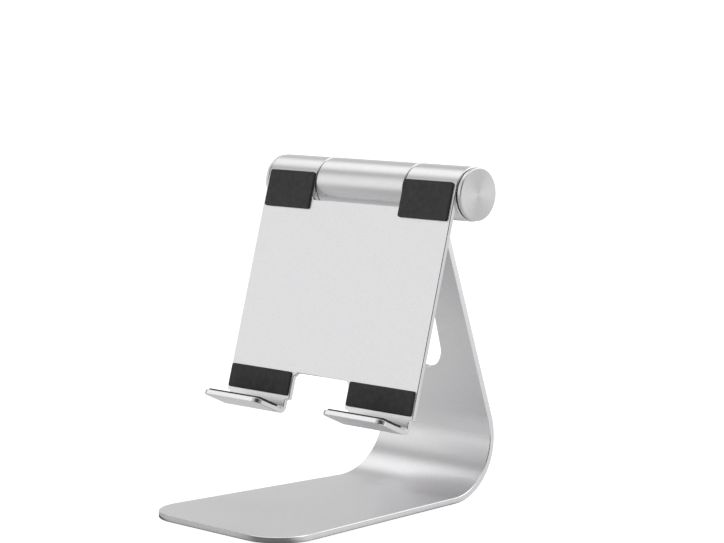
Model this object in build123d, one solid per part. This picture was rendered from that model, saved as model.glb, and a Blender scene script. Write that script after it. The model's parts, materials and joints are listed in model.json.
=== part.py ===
from build123d import *

import os
from math import cos, radians, sin

# Tilting stand for a tablet: a bent base plate, a friction hinge and a cradle with two hooks.
#
# Millimetres, +X to the right for someone facing the stand, +Y away from them, +Z up.
# The origin is on the table, under the middle of the stand's outline.

# ---- base plate: foot, bend and arm in one tapering blank, ending in the hinge barrel ----
PLATE_THICKNESS = 2.5
FRONT_WIDTH = 83.0  # across the foot's front edge, before its corners are rounded
ARM_SETBACK = 0.8  # from each end of the barrel to the arm's side where the two meet
FOOT_LENGTH = 106.3  # flat part, from the front edge to the bend
FRONT_CORNER_RADIUS = 17.0
BEND_RADIUS = 24.0  # inside of the bend
ARM_LEAN = 15.0  # degrees forward of upright
ARM_LENGTH = 103.0  # straight part, from the bend to the barrel
PLATE_EDGE = 0.2  # bevel along the plate's edges
BEND_SECTIONS = 12

SLOT_WIDTH = 21.2  # cable opening in the arm
SLOT_LENGTH = 40.0
SLOT_START = 19.4  # from the end of the bend to the opening's lower end

# ---- hinge ----
BARREL_DIAMETER = 22.0
BARREL_LENGTH = 50.0
BARREL_EDGE = 0.3
KNUCKLE_LENGTH = 28.55
KNUCKLE_WALL = 3.5  # round the pocket for the bolt's head, nut and springs
WEB_THICKNESS = 8.5  # knuckle wall that the bolt clamps
BOLT_DIAMETER = 6.0
BOLT_TIP_LENGTH = 3.3  # past the nut
BOLT_HEAD_OVERHANG = 2.0  # of the head round the shank
BOLT_HEAD_HEIGHT = 6.0
BOLT_SOCKET = 5.0  # across flats
BOLT_SOCKET_DEPTH = 3.0
BOLT_HEAD_EDGE = 0.3
BOLT_TIP_EDGE = 0.6
BUSH_WALL = 1.5
BUSH_LENGTH = 12.0
RUNNING_CLEARANCE = 0.03  # radial, bolt in its bushes
BOLT_CLEARANCE = 0.2  # radial, bolt in the barrel and in the knuckle webs
FRICTION_SETBACK = 1.0  # from the barrel's surface to the friction washer's rim
FRICTION_THICKNESS = 0.4
FACE_PLAY = 0.05  # between a friction washer and its knuckle
WASHER_CLEARANCE = 1.25  # radial, washers and springs in the pocket
WASHER_THICKNESS = 1.2
SPRING_COUNT = 4
SPRING_THICKNESS = 0.7
SPRING_CONE = 0.35  # free height of one disc spring above its thickness
NUT_WALL = 2.0  # thread to flats
NUT_HEX_HEIGHT = 4.6
NUT_COLLAR_HEIGHT = 1.4
NUT_COLLAR_WALL = 1.5
CAP_SETBACK = 0.4  # from the knuckle's surface to the cap's rim
CAP_THICKNESS = 2.0
CAP_EDGE = 0.35
CAP_SHADOW_GAP = 0.4  # between the cap's disc and the knuckle
CAP_SEAT_WIDTH = 1.5  # of the cap's shoulder on the knuckle's end
CAP_SPIGOT_LENGTH = 4.0
CAP_SPIGOT_WALL = 1.2
CAP_SPIGOT_CLEARANCE = 0.02

# ---- cradle: a plate tangent to its two knuckles, with two hooks bent forward at the foot ----
CRADLE_THICKNESS = 2.0
CRADLE_TILT = 15.5  # degrees back from upright, as stored
CRADLE_DROP = 97.35  # hinge axis to the corner between the plate and a hook's tray
CRADLE_EDGE = 0.2
BARREL_NOTCH_CLEARANCE = 1.87  # from the barrel to the notch's edge
BARREL_NOTCH_RADIUS = 1.5
LEG_INSIDE = 16.2  # half the gap between the two legs
LEG_LENGTH = 15.65  # gap's top edge to the tray corner
LEG_GAP_RADIUS = 3.0
RELIEF_HEIGHT = 4.2  # shoulder where each leg narrows, above the tray corner
RELIEF_RADIUS = 0.7
INNER_RELIEF = 2.3  # each hook is this much narrower than its leg
OUTER_RELIEF = 1.7
HOOK_BEND_RADIUS = 1.0  # inside
TRAY_RISE = 9.0  # degrees that the tray closes towards the plate
TRAY_LENGTH = 15.5  # plate's front face to the tray's tip
TRAY_CORNER_RADIUS = 3.6

# ---- pads ----
PAD_THICKNESS = 1.0
PAD_EDGE = 0.3
PAD_INSET = 1.0  # from the edge of the face that it is stuck to
UPPER_PAD_INSET = 1.5  # from the plate's side edge
UPPER_PAD_INNER_INSET = 0.4  # from the knuckle's inner end
UPPER_PAD_BOTTOM = 13.4  # below the hinge axis
UPPER_PAD_TOP = 2.4  # above the hinge axis
LOWER_PAD_HEIGHT = 10.0
TRAY_PAD_SETBACK = 2.2  # from the plate's front face and from the tray's tip
FOOT_PAD_THICKNESS = 1.0
FOOT_PAD_WIDTH = 12.0
FOOT_PAD_SETBACK = 9.0  # from the front edge and from the bend
FOOT_PAD_INSET = 4.0  # from the plate's side edges
FRONT_FOOT_PAD_EXTRA_INSET = 8.0  # keeps the front pad clear of the rounded corners

# ---- modelling allowances ----
TOUCHING = 0.01  # places closer than this are the same place
CUTTER_DEPTH = 90.0  # reaches right through the cradle's plate and hooks

# ---- places worked out from the sizes above ----
BARREL_RADIUS = BARREL_DIAMETER / 2
BARREL_END = BARREL_LENGTH / 2
KNUCKLE_INSIDE = BARREL_END + FRICTION_THICKNESS + FACE_PLAY
CRADLE_SIDE = KNUCKLE_INSIDE + KNUCKLE_LENGTH
POCKET_DIAMETER = BARREL_DIAMETER - 2 * KNUCKLE_WALL
POCKET_FLOOR = KNUCKLE_INSIDE + WEB_THICKNESS
BOLT_HOLE = BOLT_DIAMETER + 2 * BOLT_CLEARANCE
BUSH_DIAMETER = BOLT_DIAMETER + 2 * BUSH_WALL
WASHER_DIAMETER = POCKET_DIAMETER - 2 * WASHER_CLEARANCE
NOTCH_REACH = BARREL_RADIUS + BARREL_NOTCH_CLEARANCE  # hinge axis to the notch's edge
NOTCH_DEPTH = (NOTCH_REACH**2 - (BARREL_RADIUS - CRADLE_THICKNESS) ** 2) ** 0.5
HOOK_INSIDE = LEG_INSIDE + INNER_RELIEF
HOOK_OUTSIDE = CRADLE_SIDE - OUTER_RELIEF
BEND_OUTSIDE = BEND_RADIUS + PLATE_THICKNESS
BEND_MIDDLE = BEND_RADIUS + PLATE_THICKNESS / 2
BEND_ANGLE = 90 + ARM_LEAN
FRONT_Y = -(FOOT_LENGTH + BEND_OUTSIDE) / 2
BEND_Y = FRONT_Y + FOOT_LENGTH
BLANK_LENGTH = FOOT_LENGTH + BEND_MIDDLE * radians(BEND_ANGLE) + ARM_LENGTH
TAPER = (FRONT_WIDTH / 2 - BARREL_END + ARM_SETBACK) / BLANK_LENGTH
FOOT_BOTTOM = FOOT_PAD_THICKNESS
SPRING_PITCH = SPRING_THICKNESS + SPRING_CONE


def half_width(distance):
    """Half the blank's width at a distance from its front edge, measured along the plate."""
    return FRONT_WIDTH / 2 - TAPER * distance


def bend_point(angle, radius):
    """Y and Z of a point in the bend, angle degrees round from the foot."""
    turned = radians(angle)
    y = BEND_Y + radius * sin(turned)
    z = FOOT_BOTTOM + BEND_OUTSIDE - radius * cos(turned)
    return y, z


def arm_point(along, depth):
    """Y and Z of a point on the arm: along it from the bend, and depth in from its rear face."""
    y, z = bend_point(BEND_ANGLE, BEND_OUTSIDE - depth)
    lean = radians(ARM_LEAN)
    return y - along * sin(lean), z + along * cos(lean)


AXIS_Y, AXIS_Z = arm_point(ARM_LENGTH, BARREL_RADIUS)


def section_plane(angle, y, z):
    """Plane across the plate: X along the stand's X, Y towards the plate's outer face."""
    turned = radians(angle)
    return Plane(origin=(0, y, z), x_dir=(1, 0, 0), z_dir=(0, cos(turned), sin(turned)))


def blank_section(angle, y, z, distance):
    """The plate's bevelled cross-section at a distance along the blank."""
    half = half_width(distance)
    bevel = PLATE_EDGE * (1 + TAPER**2) ** 0.5
    depth = PLATE_THICKNESS / 2
    corners = [
        (half - bevel, depth),
        (half, depth - PLATE_EDGE),
        (half, PLATE_EDGE - depth),
        (half - bevel, -depth),
        (bevel - half, -depth),
        (-half, PLATE_EDGE - depth),
        (-half, depth - PLATE_EDGE),
        (bevel - half, depth),
    ]
    return section_plane(angle, y, z) * make_face(Polyline(*corners, close=True))


def on_axis(shape):
    """Turns a shape built along +Z so that it lies along +X on the hinge axis."""
    return Pos(0, AXIS_Y, AXIS_Z) * Rot(0, 90, 0) * shape


def disc(diameter, start, end):
    """Cylinder on the hinge axis between two X places."""
    blank = Cylinder(diameter / 2, end - start, align=(Align.CENTER, Align.CENTER, Align.MIN))
    return on_axis(Pos(0, 0, start) * blank)


def ring(outer, inner, start, end):
    return disc(outer, start, end) - disc(inner, start, end)


def bevelled_disc(diameter, start, end, bevel):
    body = disc(diameter, start, end)
    return chamfer(body.edges().filter_by(GeomType.CIRCLE), bevel)


def in_cradle(shape):
    """Places a shape drawn with the hinge axis as its X axis and the cradle upright."""
    return Pos(0, AXIS_Y, AXIS_Z) * Rot(-CRADLE_TILT, 0, 0) * shape


def mirrored(shape):
    return mirror(shape, about=Plane.YZ)


# ---- base plate ----
def foot():
    rear = half_width(FOOT_LENGTH)
    front = half_width(0)
    outline = make_face(
        Polyline((-front, FRONT_Y), (front, FRONT_Y), (rear, BEND_Y), (-rear, BEND_Y), close=True)
    )
    outline = fillet(outline.vertices().group_by(Axis.Y)[0], FRONT_CORNER_RADIUS)
    slab = extrude(Pos(0, 0, FOOT_BOTTOM) * outline, amount=PLATE_THICKNESS, dir=(0, 0, 1))
    levels = slab.edges().group_by(Axis.Z)
    rims = [edge for edge in levels[0] + levels[-1] if edge.center().Y < BEND_Y - PLATE_EDGE]
    return chamfer(rims, PLATE_EDGE)


def bend():
    sections = []
    for step in range(BEND_SECTIONS + 1):
        angle = BEND_ANGLE * step / BEND_SECTIONS
        y, z = bend_point(angle, BEND_MIDDLE)
        distance = FOOT_LENGTH + BEND_MIDDLE * radians(angle)
        sections.append(blank_section(angle, y, z, distance))
    return loft(sections)


def arm():
    start = arm_point(0, PLATE_THICKNESS / 2)
    end = arm_point(ARM_LENGTH, PLATE_THICKNESS / 2)
    bent = BLANK_LENGTH - ARM_LENGTH
    ends = [
        blank_section(BEND_ANGLE, *start, bent),
        blank_section(BEND_ANGLE, *end, BLANK_LENGTH),
    ]
    return loft(ends, ruled=True)


def cable_slot():
    """Cutter for the cable opening, wider by the bevel at both faces of the arm."""
    y, z = arm_point(SLOT_START + SLOT_LENGTH / 2, PLATE_THICKNESS)
    lean = radians(ARM_LEAN)
    face = Plane(origin=(0, y, z), x_dir=(1, 0, 0), z_dir=(0, cos(lean), sin(lean)))
    slot = Rot(0, 0, 90) * SlotOverall(SLOT_LENGTH, SLOT_WIDTH)
    wide = Rot(0, 0, 90) * SlotOverall(SLOT_LENGTH + 2 * PLATE_EDGE, SLOT_WIDTH + 2 * PLATE_EDGE)
    through = extrude(Pos(0, 0, -PLATE_THICKNESS) * slot, amount=3 * PLATE_THICKNESS)
    front = loft([wide, Pos(0, 0, PLATE_EDGE) * slot], ruled=True)
    back = loft(
        [Pos(0, 0, PLATE_THICKNESS - PLATE_EDGE) * slot, Pos(0, 0, PLATE_THICKNESS) * wide],
        ruled=True,
    )
    return face * (through + front + back)


def base_plate():
    barrel = bevelled_disc(BARREL_DIAMETER, -BARREL_END, BARREL_END, BARREL_EDGE)
    plate = foot() + bend() + (arm() - cable_slot()) + barrel
    plate -= disc(BOLT_HOLE, -BARREL_END, BARREL_END)
    plate -= disc(BUSH_DIAMETER, BARREL_END - BUSH_LENGTH, BARREL_END)
    plate -= disc(BUSH_DIAMETER, -BARREL_END, BUSH_LENGTH - BARREL_END)
    return plate


def foot_pad(y, inset):
    """Rubber strip across the foot's underside, centred on y."""
    width = 2 * (half_width(y - FRONT_Y) - inset)
    strip = extrude(SlotOverall(width, FOOT_PAD_WIDTH), amount=FOOT_PAD_THICKNESS)
    return Pos(0, y, 0) * strip


# ---- cradle ----
def strap_profile():
    """Side view of the plate and a hook, in Y and Z from the hinge axis, cradle upright."""
    front = -BARREL_RADIUS
    back = front + CRADLE_THICKNESS
    rise = radians(TRAY_RISE)
    tip_y = front - TRAY_LENGTH * cos(rise)
    tip_z = TRAY_LENGTH * sin(rise) - CRADLE_DROP
    heel = CRADLE_THICKNESS * (1 + sin(rise)) / cos(rise)
    heel_z = -CRADLE_DROP - CRADLE_THICKNESS * cos(rise) - heel * sin(rise)
    points = [
        (front, 0),
        (front, -CRADLE_DROP),
        (tip_y, tip_z),
        (tip_y - CRADLE_THICKNESS * sin(rise), tip_z - CRADLE_THICKNESS * cos(rise)),
        (back, heel_z),
        (back, 0),
    ]
    face = make_face(Polyline(*points, close=True))
    inner = face.vertices().sort_by_distance((front, -CRADLE_DROP, 0))[0]
    face = fillet(inner, HOOK_BEND_RADIUS)
    outer = face.vertices().sort_by_distance((back, heel_z, 0))[0]
    return fillet(outer, HOOK_BEND_RADIUS + CRADLE_THICKNESS)


def side_block(near, far, low, high):
    """Cutter through the plate between two X places and two heights, cradle upright."""
    block = Box(far - near, CUTTER_DEPTH, high - low)
    return Pos((near + far) / 2, -BARREL_RADIUS, (low + high) / 2) * block


def strap():
    """Plate and hooks, before the knuckles are added."""
    side_view = Plane(origin=(0, 0, 0), x_dir=(0, 1, 0), z_dir=(1, 0, 0))
    profile = side_view * strap_profile()
    body = extrude(profile, amount=CRADLE_SIDE, both=True)
    below = -2 * CRADLE_DROP
    gap_top = LEG_LENGTH - CRADLE_DROP
    shoulder = RELIEF_HEIGHT - CRADLE_DROP
    body -= side_block(-KNUCKLE_INSIDE, KNUCKLE_INSIDE, -NOTCH_DEPTH, BARREL_DIAMETER)
    body -= side_block(-LEG_INSIDE, LEG_INSIDE, below, gap_top)
    body -= side_block(-HOOK_INSIDE, HOOK_INSIDE, below, shoulder)
    body -= side_block(HOOK_OUTSIDE, 2 * CRADLE_SIDE, below, shoulder)
    body -= side_block(-2 * CRADLE_SIDE, -HOOK_OUTSIDE, below, shoulder)
    body = round_across(body, [KNUCKLE_INSIDE], -NOTCH_DEPTH, BARREL_NOTCH_RADIUS)
    body = round_across(body, [LEG_INSIDE], gap_top, LEG_GAP_RADIUS)
    relief = [LEG_INSIDE, HOOK_INSIDE, HOOK_OUTSIDE, CRADLE_SIDE]
    body = round_across(body, relief, shoulder, RELIEF_RADIUS)
    corners = [edge for edge in body.edges().filter_by(GeomType.LINE) if is_tray_corner(edge)]
    return bevel_rims(fillet(corners, TRAY_CORNER_RADIUS))


def bevel_rims(body):
    """Bevels the edges between the plate's broad faces and its rims, below the knuckles."""
    broad = [edge for face in body.faces() if is_broad(face) for edge in face.edges()]
    rims = [edge for edge in broad if broad.count(edge) == 1 and edge.center().Z < -CRADLE_EDGE]
    return chamfer(rims, CRADLE_EDGE)


def is_broad(face):
    """True for the plate's front, back, tray and bend faces, and false for its rims."""
    size = sorted(face.bounding_box().size)
    wide = size[2] > HOOK_OUTSIDE - HOOK_INSIDE - TOUCHING
    rim = face.geom_type == GeomType.PLANE and size[1] < 2 * CRADLE_THICKNESS
    return wide and not rim and abs(face.normal_at().X) < TOUCHING


def round_across(body, sides, height, radius):
    """Rounds the corners that run through the plate at the given X distances and height."""
    corners = []
    for edge in body.edges().filter_by(Axis.Y):
        middle = edge.center()
        beside = min(abs(abs(middle.X) - side) for side in sides)
        if beside < TOUCHING and abs(middle.Z - height) < TOUCHING:
            corners.append(edge)
    return fillet(corners, radius)


def is_tray_corner(edge):
    """True for an edge through the tray's thickness at one of its front corners."""
    ends = [vertex.center() for vertex in edge.vertices()]
    short = abs(edge.length - CRADLE_THICKNESS) < TOUCHING
    level = abs(ends[0].X - ends[1].X) < TOUCHING
    front = edge.center().Y < -BARREL_RADIUS - TRAY_LENGTH / 2
    return short and level and front


def knuckle():
    """Right-hand knuckle, cradle upright on the hinge axis."""
    middle = (Align.CENTER, Align.CENTER, Align.MIN)
    body = Cylinder(BARREL_RADIUS, KNUCKLE_LENGTH, align=middle)
    body = chamfer(body.edges().filter_by(GeomType.CIRCLE), BARREL_EDGE)
    return Pos(KNUCKLE_INSIDE, 0, 0) * Rot(0, 90, 0) * body


def cradle_plate():
    right = knuckle()
    body = in_cradle(strap() + right + mirrored(right))
    body -= disc(BOLT_HOLE, -CRADLE_SIDE, CRADLE_SIDE)
    body -= disc(POCKET_DIAMETER, POCKET_FLOOR, CRADLE_SIDE)
    body -= disc(POCKET_DIAMETER, -CRADLE_SIDE, -POCKET_FLOOR)
    return body


# ---- pads on the cradle ----
def plate_pad(near, far, low, high):
    """Rubber pad on the plate's front face, cradle upright."""
    width = far - near
    face = RectangleRounded(width, high - low, PAD_INSET)
    pad = extrude(face, amount=PAD_THICKNESS)
    pad = chamfer(pad.faces().sort_by(Axis.Z)[-1].edges(), PAD_EDGE)
    upright = Plane(
        origin=((near + far) / 2, -BARREL_RADIUS, (low + high) / 2), x_dir=(1, 0, 0), z_dir=(0, -1, 0)
    )
    return upright * pad


def upper_pad():
    """Right-hand pad on the knuckle tab, its top edge wrapped round the knuckle."""
    near = KNUCKLE_INSIDE + UPPER_PAD_INNER_INSET
    far = CRADLE_SIDE - UPPER_PAD_INSET
    outside = BARREL_RADIUS + PAD_THICKNESS
    flat = side_box(near, far, -outside, -BARREL_RADIUS, -UPPER_PAD_BOTTOM, 0)
    shell = cross_disc(outside, near, far) - cross_disc(BARREL_RADIUS, near, far)
    wrap = shell & side_box(near, far, -outside, -BARREL_RADIUS / 2, 0, UPPER_PAD_TOP)
    return flat + wrap


def side_box(near, far, front, back, low, high):
    box = Box(far - near, back - front, high - low)
    return Pos((near + far) / 2, (front + back) / 2, (low + high) / 2) * box


def cross_disc(radius, near, far):
    """Cylinder along X, cradle upright on the hinge axis."""
    blank = Cylinder(radius, far - near, align=(Align.CENTER, Align.CENTER, Align.MIN))
    return Pos(near, 0, 0) * Rot(0, 90, 0) * blank


def lower_pad():
    top = LEG_LENGTH - CRADLE_DROP
    return plate_pad(LEG_INSIDE + PAD_INSET, CRADLE_SIDE - PAD_INSET, top - LOWER_PAD_HEIGHT, top)


def tray_pad():
    """Right-hand pad on the hook's tray, cradle upright."""
    width = HOOK_OUTSIDE - HOOK_INSIDE - 2 * PAD_INSET
    depth = TRAY_LENGTH - 2 * TRAY_PAD_SETBACK
    pad = extrude(RectangleRounded(width, depth, PAD_INSET), amount=PAD_THICKNESS)
    pad = chamfer(pad.faces().sort_by(Axis.Z)[-1].edges(), PAD_EDGE)
    rise = radians(TRAY_RISE)
    middle = TRAY_LENGTH / 2
    tray = Plane(
        origin=(
            (HOOK_INSIDE + HOOK_OUTSIDE) / 2,
            -BARREL_RADIUS - middle * cos(rise),
            middle * sin(rise) - CRADLE_DROP,
        ),
        x_dir=(1, 0, 0),
        z_dir=(0, sin(rise), cos(rise)),
    )
    return tray * pad


# ---- hinge hardware ----
HEAD_SEAT = -POCKET_FLOOR - WASHER_THICKNESS
SPRING_SEAT = POCKET_FLOOR + WASHER_THICKNESS
SPRINGS_END = SPRING_SEAT + SPRING_COUNT * SPRING_PITCH
NUT_SEAT = SPRINGS_END + WASHER_THICKNESS
NUT_END = NUT_SEAT + NUT_HEX_HEIGHT + NUT_COLLAR_HEIGHT


def hinge_bolt():
    top = HEAD_SEAT - BOLT_HEAD_HEIGHT
    width = BOLT_DIAMETER + 2 * BOLT_HEAD_OVERHANG
    head = bevelled_disc(width, top, HEAD_SEAT, BOLT_HEAD_EDGE)
    shank = disc(BOLT_DIAMETER, HEAD_SEAT, NUT_END + BOLT_TIP_LENGTH)
    tip = shank.edges().filter_by(GeomType.CIRCLE).sort_by(Axis.X)[-1]
    shank = chamfer(tip, BOLT_TIP_EDGE)
    hexagon = RegularPolygon(BOLT_SOCKET / 2, 6, major_radius=False)
    socket = extrude(hexagon, amount=BOLT_SOCKET_DEPTH)
    return head + shank - on_axis(Pos(0, 0, top) * socket)


def lock_nut():
    flats = RegularPolygon(BOLT_DIAMETER / 2 + NUT_WALL, 6, major_radius=False)
    body = on_axis(Pos(0, 0, NUT_SEAT) * extrude(flats, NUT_HEX_HEIGHT))
    body += disc(BOLT_DIAMETER + 2 * NUT_COLLAR_WALL, NUT_END - NUT_COLLAR_HEIGHT, NUT_END)
    return body - disc(BOLT_DIAMETER, NUT_SEAT, NUT_END)


def washer(start):
    return ring(WASHER_DIAMETER, BOLT_HOLE, start, start + WASHER_THICKNESS)


def disc_spring(index):
    """Conical washer: even ones open towards the nut, odd ones away from it."""
    inner = BOLT_HOLE / 2
    outer = WASHER_DIAMETER / 2
    near, far = (0, SPRING_CONE) if index % 2 == 0 else (SPRING_CONE, 0)
    corners = [
        (inner, near),
        (inner, near + SPRING_THICKNESS),
        (outer, far + SPRING_THICKNESS),
        (outer, far),
    ]
    section = Plane.XZ * make_face(Polyline(*corners, close=True))
    cone = revolve(section, axis=Axis.Z)
    return on_axis(Pos(0, 0, SPRING_SEAT + index * SPRING_PITCH) * cone)


def bush():
    inner = BOLT_DIAMETER + 2 * RUNNING_CLEARANCE
    return ring(BUSH_DIAMETER, inner, BARREL_END - BUSH_LENGTH, BARREL_END)


def friction_washer():
    outer = BARREL_DIAMETER - 2 * FRICTION_SETBACK
    return ring(outer, BOLT_HOLE, BARREL_END, BARREL_END + FRICTION_THICKNESS)


def end_cap():
    """Right-hand cap: a disc, a shoulder that leaves a shadow line, and a hollow spigot."""
    face_start = CRADLE_SIDE + CAP_SHADOW_GAP
    width = BARREL_DIAMETER - 2 * CAP_SETBACK
    body = bevelled_disc(width, face_start, face_start + CAP_THICKNESS, CAP_EDGE)
    body += disc(POCKET_DIAMETER + 2 * CAP_SEAT_WIDTH, CRADLE_SIDE, face_start)
    spigot = POCKET_DIAMETER - 2 * CAP_SPIGOT_CLEARANCE
    start = CRADLE_SIDE - CAP_SPIGOT_LENGTH
    return body + ring(spigot, spigot - 2 * CAP_SPIGOT_WALL, start, CRADLE_SIDE)


def nodes():
    """Every sub-part's solid, by name."""
    front_pad_y = FRONT_Y + FOOT_PAD_SETBACK + FOOT_PAD_WIDTH / 2
    rear_pad_y = BEND_Y - FOOT_PAD_SETBACK - FOOT_PAD_WIDTH / 2
    parts = {
        "base_plate": base_plate(),
        "foot_pad_front": foot_pad(front_pad_y, FOOT_PAD_INSET + FRONT_FOOT_PAD_EXTRA_INSET),
        "foot_pad_rear": foot_pad(rear_pad_y, FOOT_PAD_INSET),
        "cradle_plate": cradle_plate(),
        "hinge_bolt": hinge_bolt(),
        "lock_nut": lock_nut(),
        "head_washer": washer(HEAD_SEAT),
        "spring_seat_washer": washer(POCKET_FLOOR),
        "nut_washer": washer(SPRINGS_END),
    }
    for index in range(SPRING_COUNT):
        parts[f"disc_spring_{index + 1}"] = disc_spring(index)
    pairs = {
        "bush": bush(),
        "friction_washer": friction_washer(),
        "end_cap": end_cap(),
        "upper_pad": in_cradle(upper_pad()),
        "lower_pad": in_cradle(lower_pad()),
        "tray_pad": in_cradle(tray_pad()),
    }
    for name, right in pairs.items():
        parts[f"{name}_right"] = right
        parts[f"{name}_left"] = mirrored(right)
    return parts


os.makedirs("parts", exist_ok=True)
for name, solid in nodes().items():
    solid.label = name
    export_step(solid, f"parts/{name}.step")
print("hinge axis at", round(AXIS_Y, 3), round(AXIS_Z, 3))
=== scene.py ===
import json
import math

import bmesh
import bpy
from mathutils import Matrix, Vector


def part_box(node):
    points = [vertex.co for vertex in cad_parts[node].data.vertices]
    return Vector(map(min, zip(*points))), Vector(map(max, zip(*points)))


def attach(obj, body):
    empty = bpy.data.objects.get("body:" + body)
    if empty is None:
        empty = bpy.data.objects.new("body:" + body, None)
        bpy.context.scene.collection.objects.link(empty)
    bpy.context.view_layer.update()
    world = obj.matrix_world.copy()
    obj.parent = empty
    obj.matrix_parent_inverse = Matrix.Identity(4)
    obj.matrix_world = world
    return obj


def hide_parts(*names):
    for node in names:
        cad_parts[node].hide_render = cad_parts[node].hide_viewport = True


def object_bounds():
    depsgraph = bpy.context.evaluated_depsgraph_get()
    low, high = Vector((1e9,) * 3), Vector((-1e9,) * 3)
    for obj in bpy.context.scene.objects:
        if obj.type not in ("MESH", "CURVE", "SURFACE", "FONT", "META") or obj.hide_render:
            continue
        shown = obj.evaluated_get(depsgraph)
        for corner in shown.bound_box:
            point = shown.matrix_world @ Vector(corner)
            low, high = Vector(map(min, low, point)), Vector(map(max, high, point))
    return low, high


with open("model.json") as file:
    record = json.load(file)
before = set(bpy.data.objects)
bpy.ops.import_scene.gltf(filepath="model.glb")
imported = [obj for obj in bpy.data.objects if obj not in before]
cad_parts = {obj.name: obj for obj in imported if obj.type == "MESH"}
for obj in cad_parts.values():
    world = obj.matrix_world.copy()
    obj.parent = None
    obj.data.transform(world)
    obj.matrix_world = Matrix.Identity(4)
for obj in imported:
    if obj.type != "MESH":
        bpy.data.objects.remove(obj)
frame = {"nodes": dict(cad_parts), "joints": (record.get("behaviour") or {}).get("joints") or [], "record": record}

MM = 0.001
cad_low, cad_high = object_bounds()
nodes = frame["nodes"]
scene = bpy.context.scene

# ---- places on the stand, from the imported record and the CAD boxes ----
mounts = {mount["name"]: mount for mount in frame["record"]["mounts"]}
AXIS = Vector(frame["joints"][0]["pos_m"])  # a point on the hinge's axis, in the middle of the stand
ACROSS = Vector((1, 0, 0))  # along the hinge's axis
# Out of the cradle plate towards the tablet, and up out of a hook's tray.
CRADLE_OUT = Vector(mounts["tablet_back_right"]["axis"]).normalized()
TRAY_OUT = Vector(mounts["tablet_ledge_right"]["axis"]).normalized()
CRADLE_UP = CRADLE_OUT.cross(ACROSS)

base_low, base_high = (Vector(corner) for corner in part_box("base_plate"))
BARREL_RADIUS = base_high.z - AXIS.z
PLATE_THICKNESS = 2.5 * MM
BEND_INSIDE = 24.0 * MM
BEND_OUTSIDE = BEND_INSIDE + PLATE_THICKNESS
BEND_CENTRE = base_low + Vector((0, base_high.y - base_low.y - BEND_OUTSIDE, BEND_OUTSIDE))
ARM_LEAN = math.radians(15)
ARM_OUT = Vector((0, math.cos(ARM_LEAN), math.sin(ARM_LEAN)))  # out of the arm's rear face
ARM_UP = ACROSS.cross(ARM_OUT)

# Limits on the cradle, measured from the hinge axis across it, out of the plate and up along it.
KNUCKLE_INSIDE = 25.4 * MM
KNUCKLE_LOWEST = -2 * MM  # below this the plate covers the knuckles' front
CRADLE_PLATE_BACK = BARREL_RADIUS - 2.1 * MM  # just behind the plate
TRAY_NEAR = BARREL_RADIUS + 2 * MM  # just past the bend between the plate and a hook
HOOK_BENDS_BELOW = -94 * MM  # where the plate starts to bend into the hooks


# ---- camera and light ----
def make_camera():
    """The photograph's view of the stand."""
    camera = bpy.data.objects.new("camera", bpy.data.cameras.new("camera"))
    scene.collection.objects.link(camera)
    camera.location = (0.6832, -0.6684, 0.2081)
    camera.rotation_euler = (math.radians(83.43), 0, math.radians(44.81))
    camera.data.lens = 117.6
    camera.data.sensor_width = 36
    camera.data.sensor_fit = "HORIZONTAL"
    camera.data.clip_start = 0.01
    camera.data.clip_end = 50
    scene.camera = camera


def softbox(name, place, target, width, height, radiance):
    """A rectangular studio light that faces a target. Its radiance sets its power."""
    data = bpy.data.lights.new(name, "AREA")
    data.shape = "RECTANGLE"
    data.size = width
    data.size_y = height
    data.energy = radiance * math.pi * width * height
    light = bpy.data.objects.new(name, data)
    scene.collection.objects.link(light)
    light.location = place
    light.rotation_euler = (Vector(target) - Vector(place)).to_track_quat("-Z", "Y").to_euler()
    light.visible_camera = False


make_camera()
middle = (cad_low + cad_high) / 2
softbox("key", place=(-1.0, 0.08, 1.12), target=middle, width=0.82, height=0.6, radiance=0.78)


# ---- shader building blocks ----
NOISE_FROM, NOISE_TO = 0.3, 0.7  # nearly all of a noise texture's values lie between these


class Tree:
    """A shader's node tree, with short calls for what the studio and the materials share."""

    def __init__(self, tree):
        self.tree = tree

    def add(self, kind):
        return self.tree.nodes.new(kind)

    def link(self, source, target):
        self.tree.links.new(source, target)

    def combine(self, operation, first, second):
        """One value from two, by a sum or another operation."""
        node = self.add("ShaderNodeMath")
        node.operation = operation
        self.link(first, node.inputs[0])
        self.link(second, node.inputs[1])
        return node.outputs["Value"]

    def along(self, place, direction):
        """How far a place, or the direction of a ray, lies along a direction."""
        node = self.add("ShaderNodeVectorMath")
        node.operation = "DOT_PRODUCT"
        node.inputs[1].default_value = Vector(direction).normalized()
        self.link(place, node.inputs[0])
        return node.outputs["Value"]

    def spread(self, value, low, high, start=NOISE_FROM, end=NOISE_TO, blend="LINEAR"):
        """The value's range from start to end, stretched between low and high."""
        node = self.add("ShaderNodeMapRange")
        node.interpolation_type = blend
        node.inputs["From Min"].default_value = start
        node.inputs["From Max"].default_value = end
        node.inputs["To Min"].default_value = low
        node.inputs["To Max"].default_value = high
        self.link(value, node.inputs["Value"])
        return node.outputs["Result"]


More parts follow.
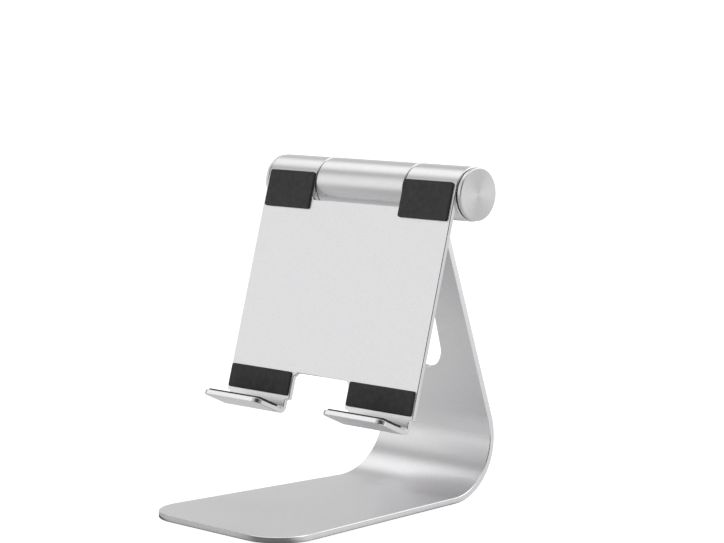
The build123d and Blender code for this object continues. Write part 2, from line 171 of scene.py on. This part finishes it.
class Maker(Tree):
    """One material's node tree, with its Principled shader and short calls for its looks."""

    def __init__(self, name, colour, roughness, metallic=0.0):
        self.material = bpy.data.materials.new(name)
        self.material.use_nodes = True
        super().__init__(self.material.node_tree)
        self.shader = self.tree.nodes["Principled BSDF"]
        self.set("Base Color", (*colour, 1))
        self.set("Roughness", roughness)
        self.set("Metallic", metallic)
        self.coords = self.add("ShaderNodeTexCoord").outputs["Object"]
        self.relief = None

    def set(self, socket, value):
        self.shader.inputs[socket].default_value = value

    def noise(self, scale, detail):
        """Noise value from 0 to 1; scale is in features per metre."""
        texture = self.add("ShaderNodeTexNoise")
        texture.inputs["Scale"].default_value = scale
        texture.inputs["Detail"].default_value = detail
        self.link(self.coords, texture.inputs["Vector"])
        return texture.outputs["Fac"]

    def shade(self, value, dark, light):
        """Base colour that runs between two colours with the noise value."""
        ramp = self.add("ShaderNodeValToRGB")
        ramp.color_ramp.elements[0].position = NOISE_FROM
        ramp.color_ramp.elements[0].color = (*dark, 1)
        ramp.color_ramp.elements[1].position = NOISE_TO
        ramp.color_ramp.elements[1].color = (*light, 1)
        self.link(value, ramp.inputs["Fac"])
        self.link(ramp.outputs["Color"], self.shader.inputs["Base Color"])

    def rough(self, value, low, high):
        """Roughness that runs between two levels with the noise value."""
        self.link(self.spread(value, low, high), self.shader.inputs["Roughness"])

    def bump(self, value, depth, strength):
        """Relief of a depth in metres, on top of any relief added before."""
        node = self.add("ShaderNodeBump")
        node.inputs["Strength"].default_value = strength
        node.inputs["Distance"].default_value = depth
        self.link(value, node.inputs["Height"])
        if self.relief is not None:
            self.link(self.relief, node.inputs["Normal"])
        self.relief = node.outputs["Normal"]
        self.link(self.relief, self.shader.inputs["Normal"])

    def glow(self, radiance):
        """White light of its own, whatever falls on it."""
        self.set("Emission Color", (1, 1, 1, 1))
        self.set("Emission Strength", radiance)


# ---- studio ----
BACKDROP = 1.15  # radiance, a little over white


def make_world():
    """A studio of soft grey walls under a bright ceiling, and plain white where the camera looks."""
    world = bpy.data.worlds.new("studio")
    world.use_nodes = True
    world.node_tree.nodes.clear()
    studio = Tree(world.node_tree)
    ray = studio.add("ShaderNodeTexCoord").outputs["Generated"]

    def patch(direction, edge, core, inside, outside=0.0):
        """A soft patch round a direction. Edge and core are cosines from it, the rest radiances."""
        cosine = studio.along(ray, direction)
        return studio.spread(cosine, outside, inside, start=edge, end=core, blend="SMOOTHSTEP")

    ceiling = patch((0, 0, 1), edge=0.6, core=0.8, inside=0.95, outside=0.25)
    right = patch((0.72, 0.69, 0.05), edge=0.75, core=0.93, inside=0.95)
    left = patch((-0.70, 0.70, 0.02), edge=0.72, core=0.95, inside=0.52)
    back = patch((0.15, 0.70, 0.70), edge=0.80, core=0.94, inside=1.0)
    front_left = patch((-0.70, -0.70, 0.10), edge=0.80, core=0.93, inside=0.85)
    front = patch((0, -1, 0.25), edge=0.8, core=0.95, inside=0.35)
    light = ceiling
    for wall in (right, left, back, front_left, front):
        light = studio.combine("ADD", light, wall)
    share_behind_camera = patch((0.68, -0.68, 0.3), edge=0.76, core=0.95, inside=0.2, outside=1.0)
    light = studio.combine("MULTIPLY", light, share_behind_camera)

    walls = studio.add("ShaderNodeBackground")
    walls.inputs["Color"].default_value = (1, 1, 1, 1)
    studio.link(light, walls.inputs["Strength"])
    white = studio.add("ShaderNodeBackground")
    white.inputs["Color"].default_value = (1, 1, 1, 1)
    white.inputs["Strength"].default_value = BACKDROP
    path = studio.add("ShaderNodeLightPath")
    mix = studio.add("ShaderNodeMixShader")
    studio.link(path.outputs["Is Camera Ray"], mix.inputs["Fac"])
    studio.link(walls.outputs["Background"], mix.inputs[1])
    studio.link(white.outputs["Background"], mix.inputs[2])
    out = studio.add("ShaderNodeOutputWorld")
    studio.link(mix.outputs["Shader"], out.inputs["Surface"])
    scene.world = world


make_world()
scene.view_settings.view_transform = "Standard"
scene.view_settings.look = "None"


# ---- materials ----
def blasted_metal():
    """Bead-blasted and clear anodised: a fine even grain and a soft satin sheen."""
    metal = Maker("blasted_aluminium", (0.742, 0.735, 0.746), 0.34, metallic=1.0)
    metal.shade(metal.noise(1500, 3), (0.715, 0.708, 0.719), (0.768, 0.761, 0.772))
    metal.rough(metal.noise(700, 3), 0.32, 0.36)
    metal.bump(metal.noise(2200, 2), 0.025 * MM, 0.8)
    metal.bump(metal.noise(5200, 1), 0.01 * MM, 0.6)
    return metal.material


def cut_metal():
    """The plates' cut edges, milled along their length after blasting."""
    metal = Maker("milled_aluminium", (0.80, 0.793, 0.804), 0.22, metallic=1.0)
    metal.rough(metal.noise(700, 3), 0.18, 0.26)
    metal.bump(metal.noise(3500, 2), 0.004 * MM, 0.5)
    return metal.material


def bevel_metal():
    """The narrow bevels along the plates' edges, cut bright."""
    metal = Maker("bevelled_aluminium", (0.86, 0.853, 0.864), 0.24, metallic=1.0)
    metal.rough(metal.noise(1500, 2), 0.21, 0.28)
    metal.bump(metal.noise(3500, 2), 0.004 * MM, 0.5)
    return metal.material


def turned_metal():
    """Face-turned on a lathe: fine rings about the hinge axis that draw the light into a fan."""
    metal = Maker("turned_aluminium", (0.68, 0.674, 0.684), 0.3, metallic=1.0)
    metal.set("Anisotropic", 0.85)
    tangent = metal.add("ShaderNodeTangent")
    tangent.direction_type = "RADIAL"
    tangent.axis = "X"
    metal.link(tangent.outputs["Tangent"], metal.shader.inputs["Tangent"])
    centred = metal.add("ShaderNodeMapping")
    centred.inputs["Location"].default_value = (0, -AXIS.y, -AXIS.z)
    metal.link(metal.coords, centred.inputs["Vector"])
    rings = metal.add("ShaderNodeTexWave")
    rings.wave_type = "RINGS"
    rings.rings_direction = "X"
    rings.inputs["Scale"].default_value = 700
    rings.inputs["Distortion"].default_value = 1.5
    rings.inputs["Detail"].default_value = 2
    metal.link(centred.outputs["Vector"], rings.inputs["Vector"])
    metal.bump(rings.outputs["Fac"], 0.006 * MM, 0.6)
    metal.rough(metal.noise(1200, 2), 0.26, 0.34)
    return metal.material


def rubber(name, dark, light):
    """Moulded silicone rubber with a matt skin, a fine pebble and a trace of dust."""
    silicone = Maker(name, dark, 0.7)
    silicone.set("Specular IOR Level", 0.35)
    silicone.shade(silicone.noise(350, 4), dark, light)
    silicone.rough(silicone.noise(500, 3), 0.62, 0.8)
    silicone.bump(silicone.noise(2200, 3), 0.03 * MM, 0.6)
    return silicone.material


def plated_steel():
    metal = Maker("zinc_plated_steel", (0.56, 0.565, 0.57), 0.3, metallic=1.0)
    metal.shade(metal.noise(500, 3), (0.50, 0.505, 0.51), (0.62, 0.622, 0.62))
    metal.rough(metal.noise(900, 2), 0.24, 0.36)
    metal.bump(metal.noise(3000, 2), 0.005 * MM, 0.5)
    return metal.material


def sintered_bronze():
    metal = Maker("sintered_bronze", (0.52, 0.33, 0.16), 0.45, metallic=1.0)
    metal.shade(metal.noise(1800, 3), (0.40, 0.25, 0.12), (0.60, 0.40, 0.20))
    metal.rough(metal.noise(1500, 2), 0.38, 0.55)
    metal.bump(metal.noise(4000, 2), 0.02 * MM, 0.6)
    return metal.material


def liner_plastic():
    plastic = Maker("friction_liner", (0.03, 0.03, 0.032), 0.55)
    plastic.shade(plastic.noise(600, 2), (0.022, 0.022, 0.024), (0.045, 0.045, 0.047))
    plastic.bump(plastic.noise(2500, 2), 0.01 * MM, 0.5)
    return plastic.material


BLASTED = blasted_metal()
CUT = cut_metal()
BEVEL = bevel_metal()
TURNED = turned_metal()
PAD_RUBBER = rubber("pad_rubber", (0.027, 0.027, 0.028), (0.037, 0.037, 0.038))
FOOT_RUBBER = rubber("foot_rubber", (0.03, 0.03, 0.032), (0.06, 0.06, 0.062))
STEEL = plated_steel()
BRONZE = sintered_bronze()
LINER = liner_plastic()


# ---- finishes on the metal plates, chosen face by face ----
FINISHES = {"blasted": BLASTED, "cut": CUT, "bevel": BEVEL, "turned": TURNED}
ON_SURFACE = 0.02 * MM  # how far past the barrel's radius a face still counts as on it
# Cosines between a face's normal and a direction.
SQUARE_ON = 0.9  # the face looks along the direction above this
LEANING = 0.3  # and above this it is a bevel beside such a face
EDGE_ON = 0.1  # below this it doesn't look that way at all


def dress(node, materials):
    """Gives a CAD node's mesh these materials alone, and returns the mesh."""
    data = nodes[node].data
    data.materials.clear()
    for material in materials:
        data.materials.append(material)
    return data


def finish_faces(node, choose):
    """Gives each face of a node the finish that choose(centre, normal) names."""
    order = list(FINISHES)
    for face in dress(node, FINISHES.values()).polygons:
        face.material_index = order.index(choose(face.center, face.normal))


def plate_finish(share):
    """Finish from how far a face's normal lies along the plate's thickness, 1 on a broad face."""
    if share > SQUARE_ON:
        return "blasted"
    return "bevel" if share > LEANING else "cut"


def barrel_finish(normal):
    """Blasted round the outside, turned on the ends."""
    return "turned" if abs(normal.x) > SQUARE_ON else "blasted"


def base_thickness(place):
    """Direction through the base plate's thickness at a place on its foot, its bend or its arm."""
    from_bend = place - BEND_CENTRE
    if from_bend.y < 0 and from_bend.z < 0:
        return Vector((0, 0, 1))
    if from_bend.y < 0 or from_bend.dot(ARM_UP) > 0:
        return ARM_OUT
    return Vector((0, from_bend.y, from_bend.z)).normalized()


def base_finish(centre, normal):
    """Finish of a face on the barrel in the middle of the hinge, or on the plate that ends in it."""
    if math.hypot(centre.y - AXIS.y, centre.z - AXIS.z) < BARREL_RADIUS + ON_SURFACE:
        return barrel_finish(normal)
    return plate_finish(abs(normal.dot(base_thickness(centre))))


def cradle_finish(centre, normal):
    """Finish of a face on a knuckle, a hook's tray, the bend behind the tray or the plate."""
    local = centre - AXIS
    out = local.dot(CRADLE_OUT)
    up = local.dot(CRADLE_UP)
    round_barrel = math.hypot(local.y, local.z) < BARREL_RADIUS + ON_SURFACE
    past_plate = up > KNUCKLE_LOWEST or out < CRADLE_PLATE_BACK
    if round_barrel and past_plate and abs(local.x) > KNUCKLE_INSIDE:
        return barrel_finish(normal)
    plate_share = abs(normal.dot(CRADLE_OUT))
    tray_share = abs(normal.dot(TRAY_OUT))
    if out >= TRAY_NEAR:
        return "blasted" if tray_share > SQUARE_ON else "cut"
    bent = abs(normal.x) < EDGE_ON and up < HOOK_BENDS_BELOW
    return "blasted" if bent else plate_finish(max(plate_share, tray_share))


finish_faces("base_plate", base_finish)
finish_faces("cradle_plate", cradle_finish)

for node in ("hinge_bolt", "lock_nut", "head_washer", "spring_seat_washer", "nut_washer"):
    dress(node, [STEEL])
for number in range(1, 5):
    dress(f"disc_spring_{number}", [STEEL])
for side in ("left", "right"):
    dress("end_cap_" + side, [TURNED])
    dress("bush_" + side, [BRONZE])
    dress("friction_washer_" + side, [LINER])


# ---- moulded rubber pads ----
ROUNDING = 0.35 * MM  # of the upper edge
ROUNDING_STEPS = 6
GLUED_EDGE_IN = 0.06 * MM  # of the bevel beside the glued face
GLUED_EDGE_HEIGHT = 0.1 * MM
SHOULDER = 0.08 * MM  # flat strip inside the rounding, which keeps its shading off the top
PAD_CORNER = 1.0 * MM
SHARPEST_CORNER = 0.02 * MM
CORNER_STEPS = 10
WRAP_STEP = 0.25 * MM


def make_object(name, form, material):
    """A new object with a bmesh's shape and one material. It uses up the bmesh."""
    mesh = bpy.data.meshes.new(name)
    form.to_mesh(mesh)
    form.free()
    mesh.materials.append(material)
    thing = bpy.data.objects.new(name, mesh)
    scene.collection.objects.link(thing)
    return thing


def span(node, direction):
    """Lowest and highest place of a CAD node along a direction, measured from the hinge axis."""
    along = [(vertex.co - AXIS).dot(direction) for vertex in nodes[node].data.vertices]
    return min(along), max(along)


def outline(sides, ends, corner, inset):
    """Points round a rectangle with rounded corners, moved in from its edge."""
    left, right = sides
    foot, head = ends
    radius = max(corner - inset, SHARPEST_CORNER)
    reach = inset + radius
    centres = (
        (right - reach, head - reach),
        (left + reach, head - reach),
        (left + reach, foot + reach),
        (right - reach, foot + reach),
    )
    points = []
    for quarter, (x, y) in enumerate(centres):
        for step in range(CORNER_STEPS + 1):
            angle = math.pi / 2 * (quarter + step / CORNER_STEPS)
            points.append((x + radius * math.cos(angle), y + radius * math.sin(angle)))
    return points


def pad_profile(height):
    """How far in from the outline and how high each ring of a pad lies, from its glued face up."""
    profile = [(GLUED_EDGE_IN, 0.0), (0.0, GLUED_EDGE_HEIGHT)]
    for step in range(ROUNDING_STEPS + 1):
        angle = math.pi / 2 * step / ROUNDING_STEPS
        drop = ROUNDING * (1 - math.sin(angle))
        profile.append((ROUNDING * (1 - math.cos(angle)), height - drop))
    profile.append((ROUNDING + SHOULDER, height))
    return profile


def flat_pad(sides, ends, height, corner):
    """A pad that lies flat, with its glued face down."""
    form = bmesh.new()
    rings = []
    for inset, level in pad_profile(height):
        points = outline(sides, ends, corner, inset)
        rings.append([form.verts.new((x, y, level)) for x, y in points])
    for lower, upper in zip(rings, rings[1:]):
        for index in range(len(lower)):
            after = (index + 1) % len(lower)
            form.faces.new((lower[index], lower[after], upper[after], upper[index]))
    form.faces.new(rings[-1])
    form.faces.new(rings[0][::-1])
    return form


def cut_across(form, head):
    """Cuts a flat pad into narrow strips from the hinge axis up to its head, so that it can bend."""
    cut = 0.0
    while cut < head:
        geometry = form.verts[:] + form.edges[:] + form.faces[:]
        bmesh.ops.bisect_plane(form, geom=geometry, plane_co=(0, cut, 0), plane_no=(0, 1, 0))
        cut += WRAP_STEP


def moulded_pad(node, body, out, corner, material, wraps=False):
    """A rubber pad with rounded edges in a CAD pad's place, glued to the face that looks along out.

    One that wraps follows the barrel round above the hinge axis.
    """
    up = out.cross(ACROSS)
    sides = span(node, ACROSS)
    base, top = span(node, out)
    foot, head = span(node, up)
    if wraps:
        base = BARREL_RADIUS
        head = top * math.asin(head / top)  # arc along its outer face, up to the CAD pad's height
    form = flat_pad(sides, (foot, head), top - base, corner)
    if wraps:
        cut_across(form, head)
    for vertex in form.verts:
        x, along, level = vertex.co
        depth = base + level
        if wraps and along > 0:
            turn = along / top
            vertex.co = AXIS + ACROSS * x + (out * math.cos(turn) + up * math.sin(turn)) * depth
        else:
            vertex.co = AXIS + ACROSS * x + up * along + out * depth
    bmesh.ops.recalc_face_normals(form, faces=form.faces[:])
    for face in form.faces:
        face.smooth = True
    pad = make_object(node + "_moulded", form, material)
    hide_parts(node)
    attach(pad, body)


for side in ("left", "right"):
    moulded_pad("upper_pad_" + side, "cradle", CRADLE_OUT, PAD_CORNER, PAD_RUBBER, wraps=True)
    moulded_pad("lower_pad_" + side, "cradle", CRADLE_OUT, PAD_CORNER, PAD_RUBBER)
    moulded_pad("tray_pad_" + side, "cradle", TRAY_OUT, PAD_CORNER, PAD_RUBBER)
for end in ("front", "rear"):
    low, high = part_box("foot_pad_" + end)
    half_round = (high[1] - low[1]) / 2 - SHARPEST_CORNER
    moulded_pad("foot_pad_" + end, "stand_base", Vector((0, 0, -1)), half_round, FOOT_RUBBER)


# ---- floor ----
FLOOR_HALF = 40  # metres, from the stand to the floor's edge
FLOOR_LEVEL = -0.05 * MM
SHADE_LEVEL = -0.1 * MM
MIRRORED_LEVEL = -0.2 * MM
SHADE_REACH = 4 * MM  # past the foot's underside
SHADE_GLOW = 0.06  # radiance


def flat_square(name, height, material):
    """A level square of floor under the stand."""
    corners = [(x * FLOOR_HALF, y * FLOOR_HALF, height) for x, y in ((-1, -1), (1, -1), (1, 1), (-1, 1))]
    form = bmesh.new()
    form.faces.new([form.verts.new(corner) for corner in corners])
    square = make_object(name, form, material)
    return square


def leave_to_mirrors(thing):
    """Hides a stage piece from all but the shiny surfaces that mirror it."""
    thing.visible_camera = False
    thing.visible_diffuse = False
    thing.visible_shadow = False


def make_floor():
    """A plain pale floor, which nothing mirrors."""
    pale = Maker("pale_floor", (0.25, 0.25, 0.25), 0.9)
    pale.set("Specular IOR Level", 0.1)
    pale.glow(1.0)
    floor = flat_square("floor", FLOOR_LEVEL, pale.material)
    floor.visible_glossy = False


def make_mirrored_table():
    """The softer grey table that the metal mirrors in the floor's place, brightest on the right."""
    grey = Maker("mirrored_table", (0, 0, 0), 1.0)
    grey.set("Specular IOR Level", 0)
    grey.glow(1.0)
    # Starts and ends are metres from the stand's origin, towards the camera or to its right.
    forward = grey.along(grey.coords, (1, -1, 0))
    far_to_near = grey.spread(forward, 0.72, 0.56, start=-0.02, end=0.01)
    nearest = grey.spread(forward, 0.0, -0.38, start=0.058, end=0.07)
    rightward = grey.along(grey.coords, (1, 1, 0))
    right_hand = grey.spread(rightward, 0.0, 0.78, start=-0.012, end=0.002)
    light = grey.combine("MAXIMUM", grey.combine("ADD", far_to_near, nearest), right_hand)
    grey.link(light, grey.shader.inputs["Emission Color"])
    leave_to_mirrors(flat_square("mirrored_table", MIRRORED_LEVEL, grey.material))


def make_contact_shade():
    """A painted shadow: a dark strip of table right under the foot, standing in for the plate's shade there, as
    the plate's lower edges mirror it.
    """
    # painted shadow: a faint glow in place of the shade under the plate, seen only in the metal's mirror
    shade = Maker("contact_shade", (0, 0, 0), 1.0)
    shade.set("Specular IOR Level", 0)
    shade.glow(SHADE_GLOW)
    plate = nodes["base_plate"].data
    underside = [v.co for v in plate.vertices if v.co.z < base_low.z + PLATE_THICKNESS]
    centre = (min(place.y for place in underside) + max(place.y for place in underside)) / 2
    form = bmesh.new()
    for place in underside:
        wider = place.x + math.copysign(SHADE_REACH, place.x)
        longer = place.y + math.copysign(SHADE_REACH, place.y - centre)
        form.verts.new((wider, longer, SHADE_LEVEL))
    hull = bmesh.ops.convex_hull(form, input=form.verts[:])
    loose = [item for item in hull["geom_interior"] if isinstance(item, bmesh.types.BMVert)]
    bmesh.ops.delete(form, geom=loose, context="VERTS")
    patch = make_object("contact_shade", form, shade.material)
    leave_to_mirrors(patch)


make_floor()
make_mirrored_table()
make_contact_shade()
